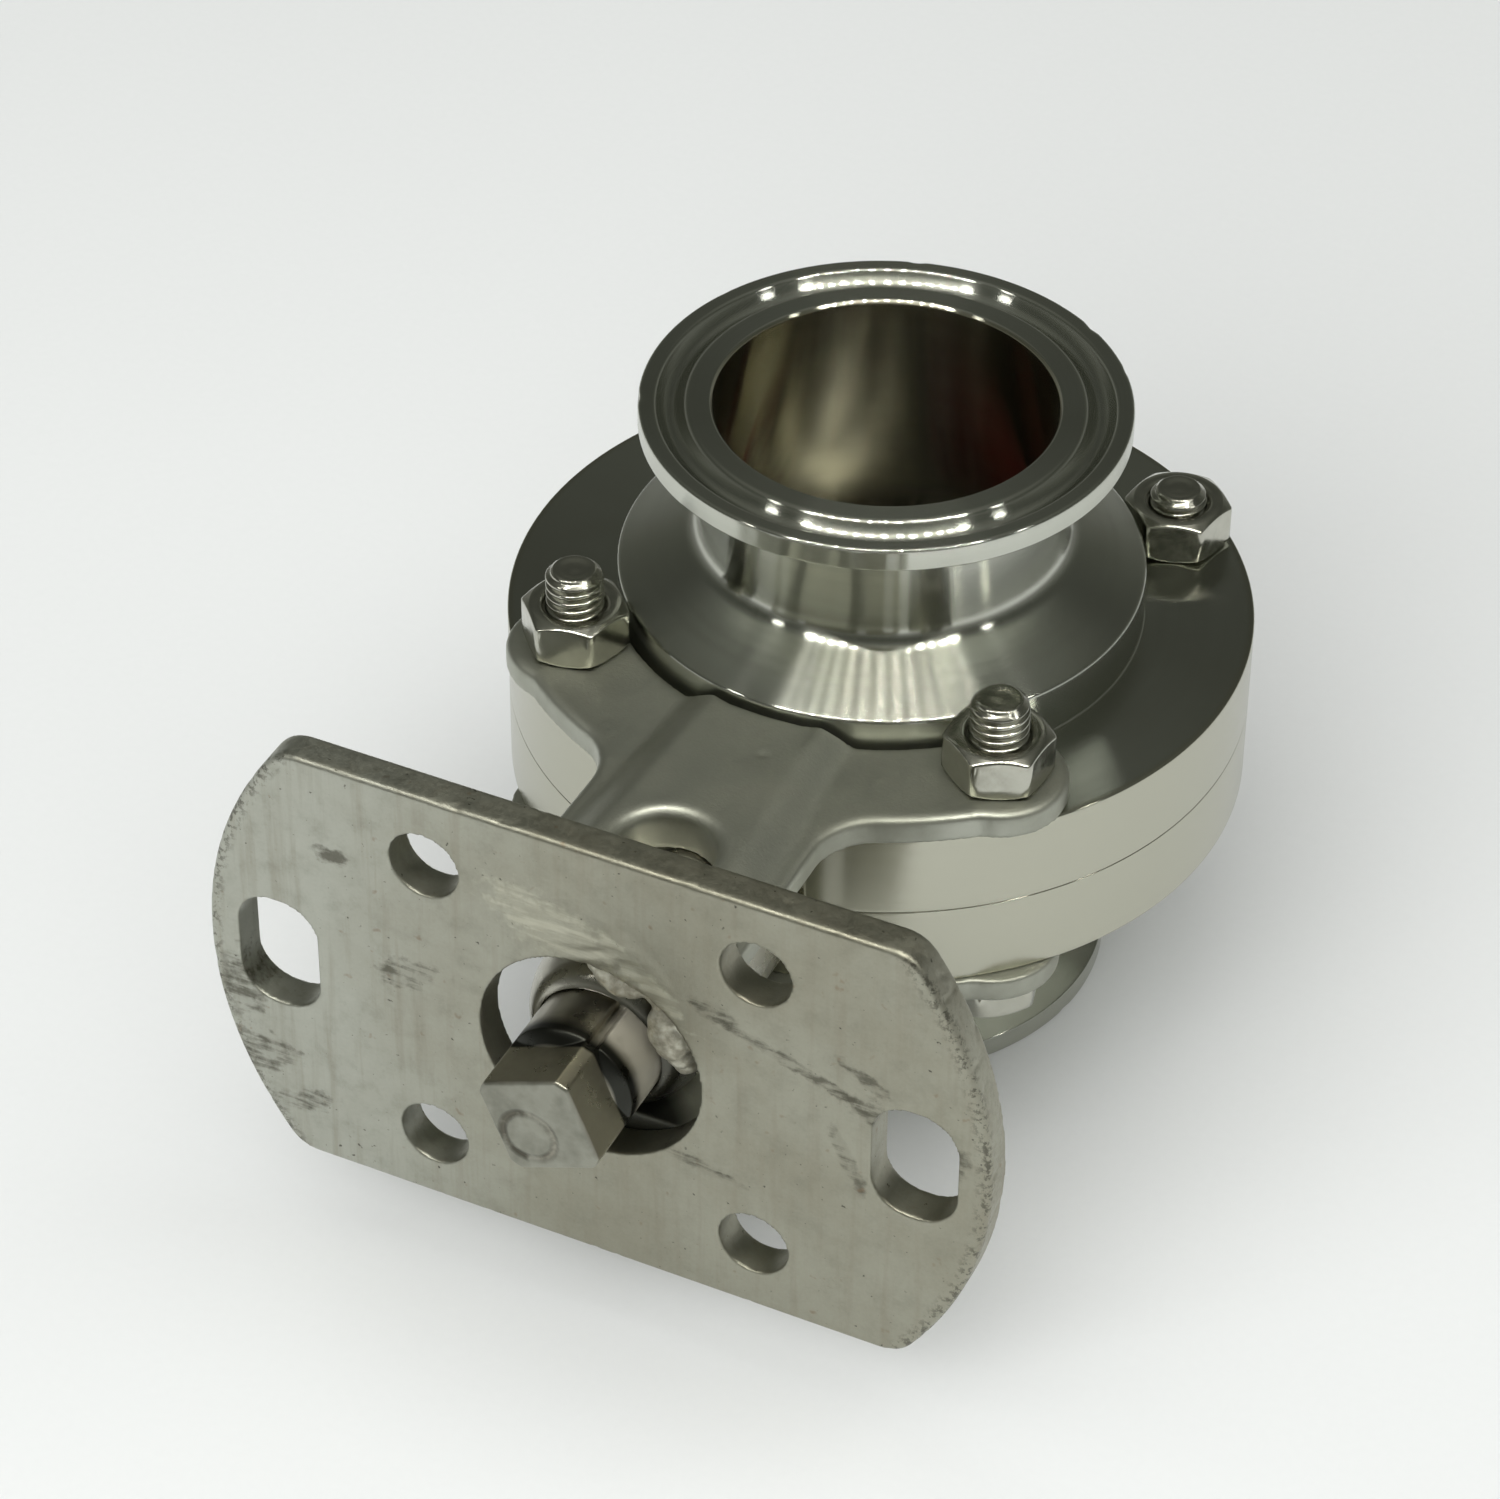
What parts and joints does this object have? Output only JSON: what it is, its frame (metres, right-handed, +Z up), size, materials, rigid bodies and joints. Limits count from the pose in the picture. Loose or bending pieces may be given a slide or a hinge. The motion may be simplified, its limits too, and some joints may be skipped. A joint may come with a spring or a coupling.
{
  "type": "butterfly valve",
  "caption": "Clamp-end butterfly valve: bolted two-piece body with a soft seat, a quarter-turn disc on a square-ended stem, and a bracket with an actuator plate.",
  "frame": {"origin": "centre of the lower ferrule's face, on the bore's axis", "axes": "+Z up along the bore; the stem lies along Y at mid-height with its square end and the actuator plate at -Y; +X to the right when looking along +Y"},
  "size_m": [0.0848, 0.1168, 0.07],
  "materials": {
    "turned_steel": "satin turned stainless steel",
    "polished_steel": "polished stainless steel",
    "stem_steel": "machined stainless steel",
    "cast_steel": "bead-blasted stainless steel",
    "plate_steel": "dull ground stainless steel with stains and scratches",
    "weld_steel": "as-welded stainless steel",
    "fastener_steel": "bright stainless steel",
    "seat_rubber": "red silicone rubber",
    "seal_rubber": "black rubber",
    "bush_plastic": "ivory bearing plastic"
  },
  "bodies": {
    "valve_body": {"upper_body_half": "turned_steel", "lower_body_half": "turned_steel", "seat_ring": "seat_rubber", "stem_sleeve": "polished_steel", "drive_bush": "bush_plastic", "pivot_bush": "bush_plastic", "drive_stem_o_ring": "seal_rubber", "pivot_stem_o_ring": "seal_rubber", "bracket_upper_leg": "cast_steel", "bracket_lower_leg": "cast_steel", "actuator_plate": "plate_steel", "upper_weld_bead": "weld_steel", "lower_weld_bead": "weld_steel", "front_left_bolt": "fastener_steel", "front_left_nut": "fastener_steel", "front_right_bolt": "fastener_steel", "front_right_nut": "fastener_steel", "back_right_bolt": "fastener_steel", "back_right_nut": "fastener_steel", "back_left_bolt": "fastener_steel", "back_left_nut": "fastener_steel"},
    "disc_assembly": {"valve_disc": "polished_steel", "drive_stem": "stem_steel", "pivot_stem": "stem_steel"}
  },
  "joints": [
    {"name": "stem_turn", "type": "hinge", "parent": "valve_body", "child": "disc_assembly", "pos_m": [0, 0, 0.035], "axis": [0, -1, 0], "range_deg": [-22.5, 67.5]}
  ]
}
